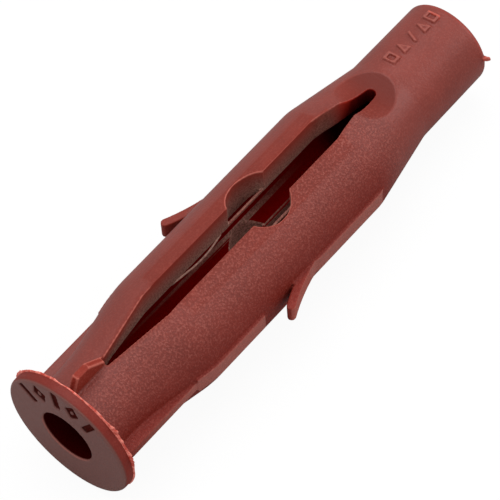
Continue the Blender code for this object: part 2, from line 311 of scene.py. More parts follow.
class Graph:
    """The nodes of one material."""

    def __init__(self, name):
        self.material = bpy.data.materials.new(name)
        self.material.use_nodes = True
        self.tree = self.material.node_tree
        self.tree.nodes.clear()
        self.output = self.tree.nodes.new("ShaderNodeOutputMaterial")

    def node(self, kind, settings=None, values=None, output=0):
        """Adds a node with its settings, then the values or links of its sockets."""
        made = self.tree.nodes.new(kind)
        for name, setting in (settings or {}).items():
            setattr(made, name, setting)
        for name, value in (values or {}).items():
            if isinstance(value, Number):
                self.tree.links.new(value.socket, made.inputs[name])
            else:
                made.inputs[name].default_value = value
        return Number(self, made.outputs[output])

    def mixed(self, share, first, second):
        """A blend of two colours, by a share that changes over the surface."""
        values = {MIX_SHARE: share}
        for socket, colour in ((MIX_FIRST, first), (MIX_SECOND, second)):
            values[socket] = colour if isinstance(colour, Number) else (*colour, 1.0)
        return self.node("ShaderNodeMix", {"data_type": "RGBA"}, values, MIX_RESULT)

    def noise(self, size, roughness):
        """Noise with features of a given size in metres."""
        place = self.node("ShaderNodeTexCoord", output="Object")
        values = {"Vector": place, "Scale": 1 / size, "Detail": NOISE_DETAIL, "Roughness": roughness}
        return self.node("ShaderNodeTexNoise", None, values)

    def attribute(self, name):
        return self.node("ShaderNodeAttribute", {"attribute_name": name}, output="Fac")

    def plastic(self, colour, roughness, specular, normal=None):
        values = {"Base Color": colour, "Roughness": roughness, "Specular IOR Level": specular}
        if normal:
            values["Normal"] = normal
        return self.node("ShaderNodeBsdfPrincipled", None, values)

    def blend(self, share, first, second):
        """A blend of two shaders."""
        return self.node("ShaderNodeMixShader", None, {0: share, 1: first, 2: second})

    def show(self, surface):
        self.tree.links.new(surface.socket, self.output.inputs["Surface"])
        return self.material


def shaded(colour, factor):
    return tuple(factor * part for part in colour)


PATCH_SIZE = 5 * MM
PATCH_ROUGHNESS = 0.5
MOTTLE_SIZE = 0.9 * MM
MOTTLE_ROUGHNESS = 0.6
GRAIN_ROUGHNESS = 0.65
NOISE_MIDDLE = 0.5

# Levels of the noise between which it turns from dark to light.
SPECKLE_LEVELS = (0.38, 0.62)
SPECK_LEVELS = (0.5, 0.64)
PATCH_LEVELS = (0.3, 0.7)

# How the skin's tone is made up, from its dark shade at 0 to its light one at 1.
SKIN_SHADES = (0.7, 1.3)
SKIN_TONE = 0.3
SPECKLE_TONE = 0.5
PATCH_TONE = 0.25
MOTTLE_TONE = 0.15
SPECK_SHARE = 0.26
UNDERSIDE_SHARE = 0.45
SADDLE_SHADE = 0.72


def skin_colour(graph, looks, grain, mottle, coarse):
    """The outer skin: speckled where it is coarse, deeper with painted shade where it faces down and in the
    saddle.
    """
    speckle = (grain.between(*SPECKLE_LEVELS) - NOISE_MIDDLE) * coarse * SPECKLE_TONE
    patches = graph.noise(PATCH_SIZE, PATCH_ROUGHNESS).between(*PATCH_LEVELS) * PATCH_TONE
    tone = speckle + patches + mottle * MOTTLE_TONE + SKIN_TONE
    dark, light = (shaded(looks.skin, shade) for shade in SKIN_SHADES)
    skin = graph.mixed(tone, dark, light)
    skin = graph.mixed(grain.between(*SPECK_LEVELS) * coarse * SPECK_SHARE, skin, looks.speck)
    skin = graph.mixed(graph.attribute("low") * UNDERSIDE_SHARE, skin, looks.underside_shade)
    return graph.mixed(graph.attribute("saddle"), skin, shaded(looks.skin, SADDLE_SHADE))


# Shares of the plug's length between which the colours of the walls and of the channel change.
FAR_WALL_STATIONS = (0.5, 0.72)
END_WALL_STATIONS = (0.69, 0.74)
BORE_END_STATIONS = (0.1, 0.14)

# How much painted light pales the walls towards the channel and below.
INNER_SHARE = 0.4
INNER_SHADE = 1.8
PIT_SHARE = 0.6
PIT_SHADE = 0.3
# Painted glow under a lip, as a shade of the lips' colour.
UNDER_LIP_SHADE = 0.65


def wall_colour(graph, looks, station, grain):
    """The walls of the slot and the hole: brown and pitted, paler with painted light, and redder towards
    the tip and a lip with painted shade and painted glow.
    """
    # Painted shade on the far walls.
    cut = graph.mixed(station.between(*FAR_WALL_STATIONS), looks.wall, looks.far_wall)
    # Painted light on the inner and lower walls.
    cut = graph.mixed(graph.attribute("inner") * INNER_SHARE, cut, shaded(looks.wall, INNER_SHADE))
    pits = (1.0 - grain.between(*SPECKLE_LEVELS)) * PIT_SHARE
    cut = graph.mixed(pits, cut, shaded(looks.far_wall, PIT_SHADE))
    # Painted glow at the slot's end.
    cut = graph.mixed(station.between(*END_WALL_STATIONS), cut, looks.end_wall)
    # Painted glow in the band under the lip.
    return graph.mixed(graph.attribute("under_lip"), cut, shaded(looks.lip, UNDER_LIP_SHADE))


def depth_shade_colour(graph, looks, station, surface_colour):
    """Painted shade for what lies in the dark: the bore, the red channel and the slot's far end."""
    shade_in_depths = graph.mixed(station.between(*BORE_END_STATIONS), looks.bore_shade, looks.channel)
    shade_in_depths = graph.mixed(station.between(*END_WALL_STATIONS), shade_in_depths, looks.bore_shade)
    return graph.mixed(graph.attribute("deep_shade"), surface_colour, shade_in_depths)


SKIN_ROUGHNESS = 0.42
ROUGHER_GRAIN = 0.2
ROUGHER_WALL = 0.25
SKIN_SPECULAR = 0.38
DULL_ROUGHNESS = 0.8
DULL_SPECULAR = 0.0
BUMP_STRENGTH = 0.8
BUMP_DISTANCE = 0.12 * MM
MOTTLE_HEIGHT = 0.4


def plastic_material(looks):
    """Satin plastic: grained skin, browner walls, glowing lips, painted highlights and shade, and a dull,
    deep red channel of painted shade.
    """
    graph = Graph("brown_red_plastic")
    station = graph.attribute("station")
    wall = graph.attribute("wall")
    coarse = graph.attribute("coarse")
    mottle = graph.noise(MOTTLE_SIZE, MOTTLE_ROUGHNESS)
    grain = graph.noise(looks.grain, GRAIN_ROUGHNESS)
    colour = skin_colour(graph, looks, grain, mottle, coarse)
    # The collar's front, with its painted sheen.
    colour = graph.mixed(graph.attribute("front"), colour, looks.front)
    colour = graph.mixed(wall, colour, wall_colour(graph, looks, station, grain))
    colour = graph.mixed(graph.attribute("lip"), colour, looks.lip)
    # Painted highlights on the sharp edges, the ribs' outer faces and the mouth's edge.
    colour = graph.mixed(graph.attribute("painted_highlight"), colour, looks.painted_highlight)
    roughness = SKIN_ROUGHNESS + (grain - NOISE_MIDDLE) * ROUGHER_GRAIN + wall * ROUGHER_WALL
    bump = graph.node("ShaderNodeBump", None, {
        "Strength": BUMP_STRENGTH, "Distance": BUMP_DISTANCE,
        "Height": grain * coarse + mottle * MOTTLE_HEIGHT,
    })
    outside = graph.plastic(colour, roughness, SKIN_SPECULAR, bump)
    # Painted shade where the surface lies deep in the dark.
    shade_in_depths = depth_shade_colour(graph, looks, station, colour)
    inside = graph.plastic(shade_in_depths, DULL_ROUGHNESS, DULL_SPECULAR, bump)
    return graph.show(graph.blend(graph.attribute("dull"), outside, inside))


TEAR_SIZE = 0.5 * MM
TEAR_LEVELS = (0.35, 0.65)
TORN_ROUGHNESS = 0.5
TORN_SPECULAR = 0.33


def torn_material(name, dark, light):
    """Thin, torn plastic, uneven between a dark and a light colour."""
    graph = Graph(name)
    torn = graph.noise(TEAR_SIZE, MOTTLE_ROUGHNESS).between(*TEAR_LEVELS)
    return graph.show(graph.plastic(graph.mixed(torn, dark, light), TORN_ROUGHNESS, TORN_SPECULAR))


WHITE = (1.0, 1.0, 1.0)
FLOOR_TONE = (0.55, 0.55, 0.55)
MIRRORED_FLOOR_TONE = (0.35, 0.35, 0.35)


def white_material(shadow_share):
    """White ground that looks white to the camera but keeps a share of the shadow on it."""
    graph = Graph("white_ground")
    seen = graph.node("ShaderNodeLightPath", output="Is Camera Ray")
    mirrored = graph.node("ShaderNodeLightPath", output="Is Glossy Ray")
    tone = graph.mixed(mirrored, FLOOR_TONE, MIRRORED_FLOOR_TONE)
    ground = graph.node("ShaderNodeBsdfDiffuse", None, {"Color": graph.mixed(seen, tone, WHITE)})
    glow = graph.node("ShaderNodeEmission", None, {"Color": (*WHITE, 1.0), "Strength": 1.0})
    return graph.show(graph.blend(seen * (1 - shadow_share), ground, glow))


def link_object(name, mesh):
    thing = bpy.data.objects.new(name, mesh)
    bpy.context.scene.collection.objects.link(thing)
    return thing


def evaluated_mesh(thing):
    graph = bpy.context.evaluated_depsgraph_get()
    graph.update()
    return bpy.data.meshes.new_from_object(thing.evaluated_get(graph))


def join_loops(shape, loops, around=True):
    """Faces between closed rows of points, each joined to the next and perhaps the last to the first."""
    following = loops[1:] + loops[:1] if around else loops[1:]
    for here, after in zip(loops, following):
        for corner in range(len(here)):
            other = (corner + 1) % len(here)
            shape.faces.new((here[corner], after[corner], after[other], here[other]))


def finished_shape(shape, name):
    bmesh.ops.recalc_face_normals(shape, faces=shape.faces)
    mesh = bpy.data.meshes.new(name)
    shape.to_mesh(mesh)
    shape.free()
    return mesh


# Each outlined figure: its corners in halves of its width and height, and how much more its line
# measures at a corner than along a side.
OUTLINES = {
    "square": (((-1, -1), (1, -1), (1, 1), (-1, 1)), 1.4),
    "diamond": (((0, -1), (1, 0), (0, 1), (-1, 0)), 1.2),
    "triangle": (((-1, -1), (1, -1), (0, 1)), 1.9),
}

# Each single stroke: its width in strokes, and its lean in degrees.
STROKES = {"bar": (1.5, 0), "slash": (1, -24)}


def outline_mark(shape, matrix, points, stroke, low, high):
    """The outline of a flat figure with a square section, from a low to a high level."""
    centre = sum((Vector(point) for point in points), Vector((0, 0))) / len(points)
    inner = 1 - stroke / min((Vector(point) - centre).length for point in points)
    turn = matrix.to_3x3()
    loops = []
    for point in points:
        out = Vector(point) - centre
        section = ((1.0, low), (1.0, high), (inner, high), (inner, low))
        loops.append([
            shape.verts.new(matrix @ (centre + out * share).to_3d() + turn @ Vector((0, 0, level)))
            for share, level in section
        ])
    join_loops(shape, loops)


def stroke_mark(shape, matrix, width, height, low, high, lean):
    """A straight stroke, leaning by an angle, from a low to a high level."""
    place = matrix @ Matrix.Rotation(lean, 4, "Z") @ Matrix.Translation((0, 0, (low + high) / 2))
    size = Matrix.Diagonal((width, height, high - low, 1.0))
    bmesh.ops.create_cube(shape, size=1.0, matrix=place @ size)


def mark(shape, kind, matrix, width, height, stroke, low, high):
    """One of the marks' plain figures, within a width and a height."""
    if kind in OUTLINES:
        corners, widening = OUTLINES[kind]
        points = [(across * width / 2, up * height / 2) for across, up in corners]
        outline_mark(shape, matrix, points, stroke * widening, low, high)
    else:
        widening, degrees = STROKES[kind]
        stroke_mark(shape, matrix, stroke * widening, height, low, high, math.radians(degrees))


# The collar's marks, each with its angle in degrees, and the tip's, each with its station in mm.
COLLAR_MARKS = (("bar", 141), ("diamond", 120), ("bar", 98), ("diamond", 77), ("bar", 56))
COLLAR_MARK_RADIUS = 5.75 * MM
COLLAR_MARK_WIDTH = 1.75 * MM
COLLAR_MARK_LENGTH = 2.4 * MM

TIP_MARKS = (
    ("square", 51.6), ("triangle", 53.3), ("slash", 55.0), ("triangle", 56.6), ("square", 58.2)
)
TIP_MARK_ACROSS = -0.85 * MM
TIP_MARK_WIDTH = 1.1 * MM
TIP_MARK_LENGTH = 1.6 * MM
TIP_MARK_STROKE = 0.3 * MM
MARK_SINK = 0.3 * MM


def collar_marks(sizes):
    """Cutters of the plain marks sunk into the collar's front face."""
    shape = bmesh.new()
    for kind, degrees in COLLAR_MARKS:
        angle = math.radians(degrees)
        outward = Vector((math.cos(angle), 0, math.sin(angle)))
        around = Vector((math.sin(angle), 0, -math.cos(angle)))
        matrix = Matrix((around, outward, around.cross(outward))).transposed().to_4x4()
        matrix.translation = outward * COLLAR_MARK_RADIUS
        mark(
            shape, kind, matrix, COLLAR_MARK_WIDTH, COLLAR_MARK_LENGTH, sizes.mark_stroke,
            -sizes.mark_depth, MARK_SINK
        )
    return finished_shape(shape, "collar_marks")


def tip_marks(sizes):
    """Plain raised marks along the tip."""
    shape = bmesh.new()
    for kind, station in TIP_MARKS:
        radius = skin_radius(station * MM)
        up = math.sqrt(radius**2 - TIP_MARK_ACROSS**2)
        normal = Vector((TIP_MARK_ACROSS, 0, up)).normalized()
        along = Vector((0, 1, 0))
        matrix = Matrix((along, normal.cross(along), normal)).transposed().to_4x4()
        matrix.translation = Vector((TIP_MARK_ACROSS, station * MM, up))
        mark(
            shape, kind, matrix, TIP_MARK_WIDTH, TIP_MARK_LENGTH, TIP_MARK_STROKE,
            -MARK_SINK, sizes.mark_height
        )
    return finished_shape(shape, "tip_marks")


def marked_mesh(sizes):
    """The solid's mesh in the plug's frame, with the marks cut in and added."""
    mesh = frame["nodes"][NODE].data.copy()
    mesh.transform(PLUG.inverted())
    body = link_object("marked_plug", mesh)
    cutter = link_object("collar_marks", collar_marks(sizes))
    raised = link_object("tip_marks", tip_marks(sizes))
    for other, operation in ((cutter, "DIFFERENCE"), (raised, "UNION")):
        boolean = body.modifiers.new(operation.lower(), "BOOLEAN")
        boolean.operation = operation
        boolean.solver = "EXACT"
        boolean.object = other
    done = evaluated_mesh(body)
    for thing in (body, cutter, raised):
        bpy.data.objects.remove(thing, do_unlink=True)
    return done


ROUNDING_FACTOR = 0.5


def rounded_mesh(mesh, sizes):
    """Rebuilds a mesh from voxels, rounds its edges and thins its triangles, all in millimetres."""
    mesh.transform(Matrix.Scale(1 / MM, 4))
    thing = link_object("rebuilt_plug", mesh)
    remesh = thing.modifiers.new("voxels", "REMESH")
    remesh.mode = "VOXEL"
    remesh.voxel_size = sizes.voxel / MM
    smooth = thing.modifiers.new("rounding", "SMOOTH")
    smooth.factor = ROUNDING_FACTOR
    smooth.iterations = sizes.rounding_steps
    fine = evaluated_mesh(thing)
    thing.modifiers.clear()
    thing.data = fine
    thin = thing.modifiers.new("fewer_triangles", "DECIMATE")
    triangles_before = 2 * len(fine.polygons)
    thin.ratio = min(1.0, sizes.triangles / triangles_before)
    done = evaluated_mesh(thing)
    bpy.data.objects.remove(thing, do_unlink=True)
    done.transform(Matrix.Scale(MM, 4))
    return done


# Stations at which forms and looks begin and end. The spur is what is left of the gate.
FIN_END = 7.2 * MM
BARBS_START = 0.2 * LENGTH
HOLE_STATION = 29.35 * MM
HOLE_RADIUS = 3.22 * MM
LIP_END = 42 * MM
LIP_FADE = 3 * MM
UNDERSIDE_END = 0.75 * LENGTH
TIP_MARKS_START = 0.84 * LENGTH
TIP_EDGE_START = LENGTH - 1.2 * MM
SPUR_START = LENGTH - 1.5 * MM
BEHIND_COLLAR = (COLLAR_THICKNESS, 1.5 * COLLAR_THICKNESS)

# How far a form at least stands out from the turned skin.
MARK_RISE = 0.05 * MM
RIB_RISE = 0.12 * MM
FIN_RISE = 0.25 * MM
BARB_RISE = 0.4 * MM

FIN_HALF_WIDTH = 2 * MM
HOLE_MARGIN = 0.12 * MM
HOLE_WALL_DEPTH = 0.15 * MM
CHANNEL_EDGE = 0.05 * MM
RAIL_DEPTH = 1 * MM
MOUTH_EDGE = 0.14 * MM
MOUTH_DEPTH = 0.25 * MM
COLLAR_BAND = 0.3 * MM
COLLAR_FRONT_EDGE = 0.15 * MM

# The radius at which an edge is fully sharp, and the bends from which and at which it counts.
EDGE_RADIUS = 0.25 * MM
EDGE_STEPS = 3
EDGE_BENDS = (0.06, 0.35)


def smooth_step(values, low, high):
    """0 up to the low value, 1 from the high one on and smooth between them."""
    share = np.clip((values - low) / (high - low), 0, 1)
    return share * share * (3 - 2 * share)


class Surface:
    """The moulding's mesh, measured point by point in the plug's frame."""

    def __init__(self, mesh):
        self.points = vertex_vectors(mesh, "co")
        self.normals = vertex_vectors(mesh, "normal")
        edges = np.empty(len(mesh.edges) * 2, dtype=np.int64)
        mesh.edges.foreach_get("vertices", edges)
        self.edges = edges.reshape(-1, 2)
        self.counts = np.maximum(np.bincount(edges, minlength=len(self.points)), 1)
        self.across, self.station, self.up = self.points.T
        self.radii = np.hypot(self.across, self.up)
        self.skin = skin_radius(self.station)
        self.depth = self.skin - self.radii
        self.outward = (self.normals[:, 0] * self.across + self.normals[:, 2] * self.up) / self.radii
        self.from_hole = np.hypot(self.across, self.station - HOLE_STATION) - HOLE_RADIUS
        self.behind_collar = smooth_step(self.station, *BEHIND_COLLAR)
        self.past_lips = smooth_step(self.station, LIP_END, LIP_END + LIP_FADE)
        self.sharp = self.sharpness()
        self.find_small_forms()
        self.find_openings()

    def neighbour_mean(self, values):
        """Each point's mean of a value over the points next to it."""
        total = np.zeros_like(values)
        np.add.at(total, self.edges[:, 0], values[self.edges[:, 1]])
        np.add.at(total, self.edges[:, 1], values[self.edges[:, 0]])
        return total / (self.counts if values.ndim == 1 else self.counts[:, None])

    def spread(self, values, steps):
        """A value smoothed over the points that lie next to each other, a number of times."""
        for _ in range(steps):
            values = (values + self.neighbour_mean(values)) / 2
        return values

    def sharpness(self):
        """How sharply the surface bends outwards at each point, from 0 to 1."""
        spans = np.linalg.norm(self.points[self.edges[:, 0]] - self.points[self.edges[:, 1]], axis=1)
        reach = np.zeros(len(self.points))
        np.add.at(reach, self.edges[:, 0], spans)
        np.add.at(reach, self.edges[:, 1], spans)
        reach /= self.counts
        lift = ((self.points - self.neighbour_mean(self.points)) * self.normals).sum(axis=1)
        bend = np.clip(2 * lift / reach**2 * EDGE_RADIUS, -1, 1)
        return smooth_step(self.spread(bend, EDGE_STEPS), *EDGE_BENDS)

    def stands_out(self, rise):
        return self.radii > self.skin + rise

    def find_small_forms(self):
        """Marks the points of the fins, the spur, the tip's edge and marks, ribs, barbs and the rim."""
        station = self.station
        near_middle = np.abs(self.across) < FIN_HALF_WIDTH
        self.fin = self.stands_out(FIN_RISE) & near_middle & (station < FIN_END) & (self.behind_collar > 0)
        self.spur = self.stands_out(RIB_RISE) & (station > SPUR_START)
        self.tip_edge = (station > TIP_EDGE_START) & ~self.spur
        upper_left = (self.across < 0) & (self.up > 0)
        self.raised = self.stands_out(MARK_RISE) & upper_left & (station > TIP_MARKS_START) & ~self.spur
        self.rib = self.stands_out(RIB_RISE) & (station > FIN_END) & ~self.spur & ~self.raised
        self.barb = self.stands_out(BARB_RISE) & (station > BARBS_START) & ~self.spur
        self.collar_rim = (self.radii > COLLAR_RADIUS - COLLAR_BAND) & (self.behind_collar < 0.5)
        self.collar_rim &= station > COLLAR_FRONT_EDGE

    def find_openings(self):
        """Marks the points of the hole's wall, of the rails across it and of the mouth's edge."""
        self.hole_wall = (np.abs(self.from_hole) < HOLE_MARGIN) & (self.depth > HOLE_WALL_DEPTH)
        self.hole_wall &= self.radii > CHANNEL_RADIUS - CHANNEL_EDGE
        self.rail = (self.from_hole < -HOLE_MARGIN) & (self.depth > RAIL_DEPTH)
        self.rail &= self.radii > CHANNEL_RADIUS
        self.mouth = (self.radii < BORE_RADIUS + MOUTH_EDGE) & (self.station < MOUTH_DEPTH)


# From here on a pair of numbers is where a look begins and where it is complete.
FRONT_EDGE = (0.02 * MM, 0.2 * MM)
TIP_FACE_EDGE = (0.05 * MM, 0.4 * MM)
FACES_IN = (0.55, 0.85)
CHANNEL_MARGIN = 0.4 * MM
CHANNEL_FADE = 0.25 * MM
FACES_ASIDE = (0.3, 0.6)
BELOW_SKIN = (0.05 * MM, 0.2 * MM)
RAIL_WALL = 0.6


def walls_and_channel(surface):
    """How far each point is on a wall of the slot or the hole, and how far in the channel."""
    ends = smooth_step(surface.station, *FRONT_EDGE)
    ends *= smooth_step(LENGTH - surface.station, *TIP_FACE_EDGE)
    channel = smooth_step(-surface.outward, *FACES_IN)
    channel *= smooth_step(CHANNEL_RADIUS + CHANNEL_MARGIN - surface.radii, 0, CHANNEL_FADE)
    channel *= ends
    wall = smooth_step(1 - surface.outward, *FACES_ASIDE) * smooth_step(surface.depth, *BELOW_SKIN)
    wall *= (1 - channel) * surface.behind_collar * ends
    wall[surface.hole_wall] = 1.0
    channel[surface.hole_wall] = 0.0
    wall[surface.rail] = RAIL_WALL
    return wall, channel


RIGHT_LIP = 0.7
LAST_LIP = 0.3


def lip_strength(surface):
    """How strong the looks of the slot's lips are: weaker on the right and where the slot ends."""
    side = np.where(surface.across < 0, 1.0, RIGHT_LIP)
    before_end = smooth_step(LIP_END - surface.station, 0, LIP_FADE)
    return side * (LAST_LIP + (1 - LAST_LIP) * before_end)


SLOT_LIP = 0.35
SLOT_LIP_REACH = (0.12, 0.4)
SLOT_LIP_WALL = (0.3, 0.9)
SLOT_LIP_DEPTH = (0.8 * MM, 1.2 * MM)
FIN_LIP = 0.2
TIP_EDGE_LIP = 0.5
BARB_LIP = 0.12


def lip_look(surface, wall, near_wall):
    """How much light thin plastic lets through: along the slot and in fins, barbs and the spur."""
    lip = SLOT_LIP * smooth_step(near_wall, *SLOT_LIP_REACH) * (1 - smooth_step(wall, *SLOT_LIP_WALL))
    lip *= lip_strength(surface) * (1 - smooth_step(surface.depth, *SLOT_LIP_DEPTH))
    lip[surface.fin] = np.maximum(lip[surface.fin], FIN_LIP)
    lip[surface.spur] = 1.0
    lip[surface.tip_edge] = TIP_EDGE_LIP * surface.sharp[surface.tip_edge]
    lip[surface.barb] = BARB_LIP
    return lip


UNDER_LIP = 0.95
UNDER_LIP_DEPTH = (0.55 * MM, 1.2 * MM)


def under_lip_look(surface):
    """Painted glow: the red band on the upper slot's walls, just under the lip, where light comes through
    it.
    """
    band = UNDER_LIP * (1 - smooth_step(surface.depth, *UNDER_LIP_DEPTH))
    return band * (surface.up > 0) * lip_strength(surface)


PALE_LIP = 0.7
PALE_LIP_REACH = (0.12, 0.3)
PALE_LIP_DEPTH = 0.25 * MM
PALE_FIN = 0.5
PALE_SPUR = 0.4
PALE_MARK = 0.25
PALE_RIB = 0.33
PALE_MOUTH = 0.3
# The side of the mouth's edge where its painted highlight is strongest, where the light falls.
PALE_MOUTH_SIDE = math.radians(-115)


def painted_highlight_look(surface, near_wall, outer_face):
    """Painted highlights and reflection: how pale the sharp edges, the ribs' outer faces and the mouth's
    lit edge are.
    """
    painted_highlight = PALE_LIP * surface.sharp * smooth_step(near_wall, *PALE_LIP_REACH) * lip_strength(surface)
    painted_highlight *= surface.depth < PALE_LIP_DEPTH
    painted_highlight[surface.fin] = PALE_FIN * surface.sharp[surface.fin] ** 2
    painted_highlight[surface.spur] = PALE_SPUR * surface.sharp[surface.spur]
    painted_highlight[surface.raised] = PALE_MARK * surface.sharp[surface.raised]
    painted_highlight[surface.rib] = PALE_RIB * outer_face[surface.rib]
    lit_side = np.clip(2 * np.cos(np.arctan2(surface.up, surface.across) - PALE_MOUTH_SIDE), 0, 1)
    painted_highlight[surface.mouth] = (PALE_MOUTH * surface.sharp * lit_side)[surface.mouth]
    return painted_highlight


# Painted shade in the collar's sunk marks, on the lower walls seen deep down and at the slot's end.
MARKED_FACE_RADIUS = BORE_RADIUS + 0.5 * MM
MARKED_FACE_DEPTH = 0.2 * MM
MARK_START = 0.12 * MM
MARK_END = 0.8 * MM
MARK_DARKNESS = 0.85
LOWER_WALL = 0.8
LOWER_WALL_DEPTH = (0.4 * MM, 1.2 * MM)
LOWER_WALL_MARGIN = 0.3 * MM
END_WALL = 0.92
END_WALL_DEPTH = (0.7 * MM, 1.2 * MM)


def deep_shade_look(surface, wall, channel):
    """Painted shade: how far each point lies in the dark: the channel, the sunk marks and the walls seen
    deep down.
    """
    deep_shade = channel.copy()
    marked_face = (surface.radii > MARKED_FACE_RADIUS) & (surface.depth > MARKED_FACE_DEPTH)
    sunk = (surface.station > MARK_START) & (surface.station < MARK_END)
    deep_shade[marked_face & sunk] = MARK_DARKNESS
    lower_wall = wall * (surface.up < 0) * (surface.from_hole > LOWER_WALL_MARGIN)
    lower_wall *= smooth_step(surface.depth, *LOWER_WALL_DEPTH)
    end_wall = wall * smooth_step(surface.depth, *END_WALL_DEPTH) * surface.past_lips
    return np.maximum.reduce([deep_shade, LOWER_WALL * lower_wall, END_WALL * end_wall])


SADDLE_DEPTH = (0.01 * MM, 0.12 * MM)
SADDLE_OUTWARD = (0.75, 0.9)


def saddle_form(surface):
    """The smooth saddle that is sunk into the skin where the slot ends."""
    saddle = smooth_step(surface.depth, *SADDLE_DEPTH) * smooth_step(surface.outward, *SADDLE_OUTWARD)
    return saddle * (surface.station > LIP_END)


# Degrees round the plug from its top, to the right and to the left, between which it turns down and painted
# shade comes in, sooner on the right, away from the key lamp.
TURN_DOWN_RIGHT = (35, 80)
TURN_DOWN_LEFT = (100, 140)
UNDERSIDE_FADE = 5 * MM
FRONT_END = 0.3 * MM


def low_shade_look(surface, outer_face):
    """Painted shade: how far the skin faces down, apart from the ribs' outer faces and the tip."""
    turn = np.degrees(np.arctan2(surface.across, surface.up))
    low = smooth_step(turn, *TURN_DOWN_RIGHT) + smooth_step(-turn, *TURN_DOWN_LEFT)
    low *= smooth_step(UNDERSIDE_END - surface.station, 0, UNDERSIDE_FADE)
    return low * (1 - outer_face) * (surface.station > FRONT_END)


DULL_SADDLE = 0.6
DULL_BARB = 0.45
DULL_FIN = 0.7
DULL_LIP = 0.4
DULL_RIM = 0.5
DULL_SKIN = 0.6


def dull_look(surface, wall, deep_shade, lip, saddle, low, glow):
    """How far the plastic loses its gloss: where it is dark, thin, smooth or faces down."""
    thin = DULL_BARB * surface.barb + DULL_FIN * surface.fin + DULL_LIP * lip
    return np.maximum.reduce([
        deep_shade, DULL_SADDLE * saddle, thin, DULL_RIM * surface.collar_rim, DULL_SKIN * low,
        DULL_SKIN * glow, wall * surface.past_lips,
    ])


INNER_WALL = (0.5, 1.0)
LOWER_INNER_WALL = 2.5
LOWER_WALL_REACH = 1 * MM


def inner_look(surface):
    """Painted light on the walls: paler towards the channel and on the lower walls up to the hole."""
    inner = smooth_step(surface.depth / (surface.skin - CHANNEL_RADIUS), *INNER_WALL)
    inner[(surface.up < 0) & (surface.from_hole < LOWER_WALL_REACH)] = LOWER_INNER_WALL
    inner[surface.rail] = 0.0
    return inner


FINEST_GRAIN = 0.3
RIGHT_SIDE = (-0.3, 0.4)
SMOOTHER_BELOW = 0.3
GRAIN_FADE = 6 * MM


def coarse_look(surface, low):
    """How coarse the grain is: most on the right leg, least on the left one and at the tip."""
    right = smooth_step(surface.across / surface.skin, *RIGHT_SIDE)
    right *= (1 - SMOOTHER_BELOW * low) * ~surface.collar_rim
    before_tip = smooth_step(LIP_END + GRAIN_FADE - surface.station, 0, GRAIN_FADE)
    return FINEST_GRAIN + (1 - FINEST_GRAIN) * right * before_tip


FRONT_FADE = 0.2 * MM
MOUTH_WALL = BORE_RADIUS + 0.3 * MM
MOUTH_WALL_END = 0.6 * MM


def front_look(surface):
    """The collar's front face, with the first stretch of the mouth's wall, in the front colour with its
    painted sheen.
    """
    front = smooth_step(FRONT_END - surface.station, 0, FRONT_FADE)
    front[(surface.radii < MOUTH_WALL) & (surface.station < MOUTH_WALL_END)] = 1.0
    return front


NEAR_WALL_STEPS = 18
GLOW_STEPS = 60
GLOW_REACH = (0.02, 0.3)
OUTER_FACE = (0.5, 0.9)
# Stations over which painted shade comes into the saddle, on its side towards the tip.
SADDLE_STATIONS = (43 * MM, 48.5 * MM)


def store(mesh, name, values):
    attribute = mesh.attributes.new(name, "FLOAT", "POINT")
    attribute.data.foreach_set("value", values.astype(np.float32))


def store_looks(mesh):
    """Writes what the plastic's material reads: how strong each look is at each point of the mesh."""
    surface = Surface(mesh)
    wall, channel = walls_and_channel(surface)
    near_wall = surface.spread(wall, NEAR_WALL_STEPS)
    glow = smooth_step(surface.spread(near_wall, GLOW_STEPS), *GLOW_REACH) * (surface.station < LIP_END)
    outer_face = surface.rib * smooth_step(surface.normals[:, 0] * np.sign(surface.across), *OUTER_FACE)
    lip = lip_look(surface, wall, near_wall)
    deep_shade = deep_shade_look(surface, wall, channel)
    saddle = saddle_form(surface)
    low = low_shade_look(surface, outer_face)
    looks = {
        "station": surface.station / LENGTH,
        "wall": wall,
        "inner": inner_look(surface),
        "under_lip": under_lip_look(surface),
        "lip": lip,
        "painted_highlight": painted_highlight_look(surface, near_wall, outer_face),
        "deep_shade": deep_shade,
        "dull": dull_look(surface, wall, deep_shade, lip, saddle, low, glow),
        # Painted shade in the saddle, growing towards the tip.
        "saddle": saddle * smooth_step(surface.station, *SADDLE_STATIONS),
        # Painted shade on the downward sides and on the collar's rim band.
        "low": np.maximum(low, surface.collar_rim),
        "coarse": coarse_look(surface, low),
        "front": front_look(surface),
    }
    for name, values in looks.items():
        store(mesh, name, values)


class WALLPLUG_OT_moulding(bpy.types.Operator):
    """Make the moulding: the solid with its marks, rounded edges and plastic"""

    bl_idname = "wall_plug.moulding"
    bl_label = "Make Moulding"

    def execute(self, context):
        settings = context.scene.wall_plug
        mesh = rounded_mesh(marked_mesh(settings.moulding), settings.moulding)
        store_looks(mesh)
        mesh.transform(PLUG)
        low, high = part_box(NODE)
        inside = np.clip(vertex_vectors(mesh, "co"), np.array(low), np.array(high))
        mesh.vertices.foreach_set("co", inside.ravel())
        mesh.shade_smooth()
        mesh.materials.clear()
        mesh.materials.append(plastic_material(settings.plastic))
        moulding = link_object("plug_moulding", mesh)
        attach(moulding, BODY)
        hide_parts(NODE)
        return {"FINISHED"}


FLASH_STEPS = 540
FLASH_ROOT = 0.3 * MM
FLASH_BACK = 0.05 * MM
FLASH_LEAN = 0.12 * MM
FLASH_LEAN_WAVES = 6.0
FLASH_LEAN_LEVEL = 0.4
FLASH_EDGE = 0.25
FLASH_FOOT = 0.02 * MM
FLASH_BOX_MARGIN = 0.02 * MM
FLASH_NOTCH = 0.1 * MM
LEAST_RISE = 0.1

# The uneven edge: how often it varies round the collar and how much, in shares of the mean reach.
COARSE_WAVES = 3.0
COARSE_PLACE = Vector((5.0, 0.0, 0.0))
COARSE_HEIGHT = 0.8
FINE_WAVES = 12.0
FINE_HEIGHT = 0.3
LEAST_REACH = 0.15

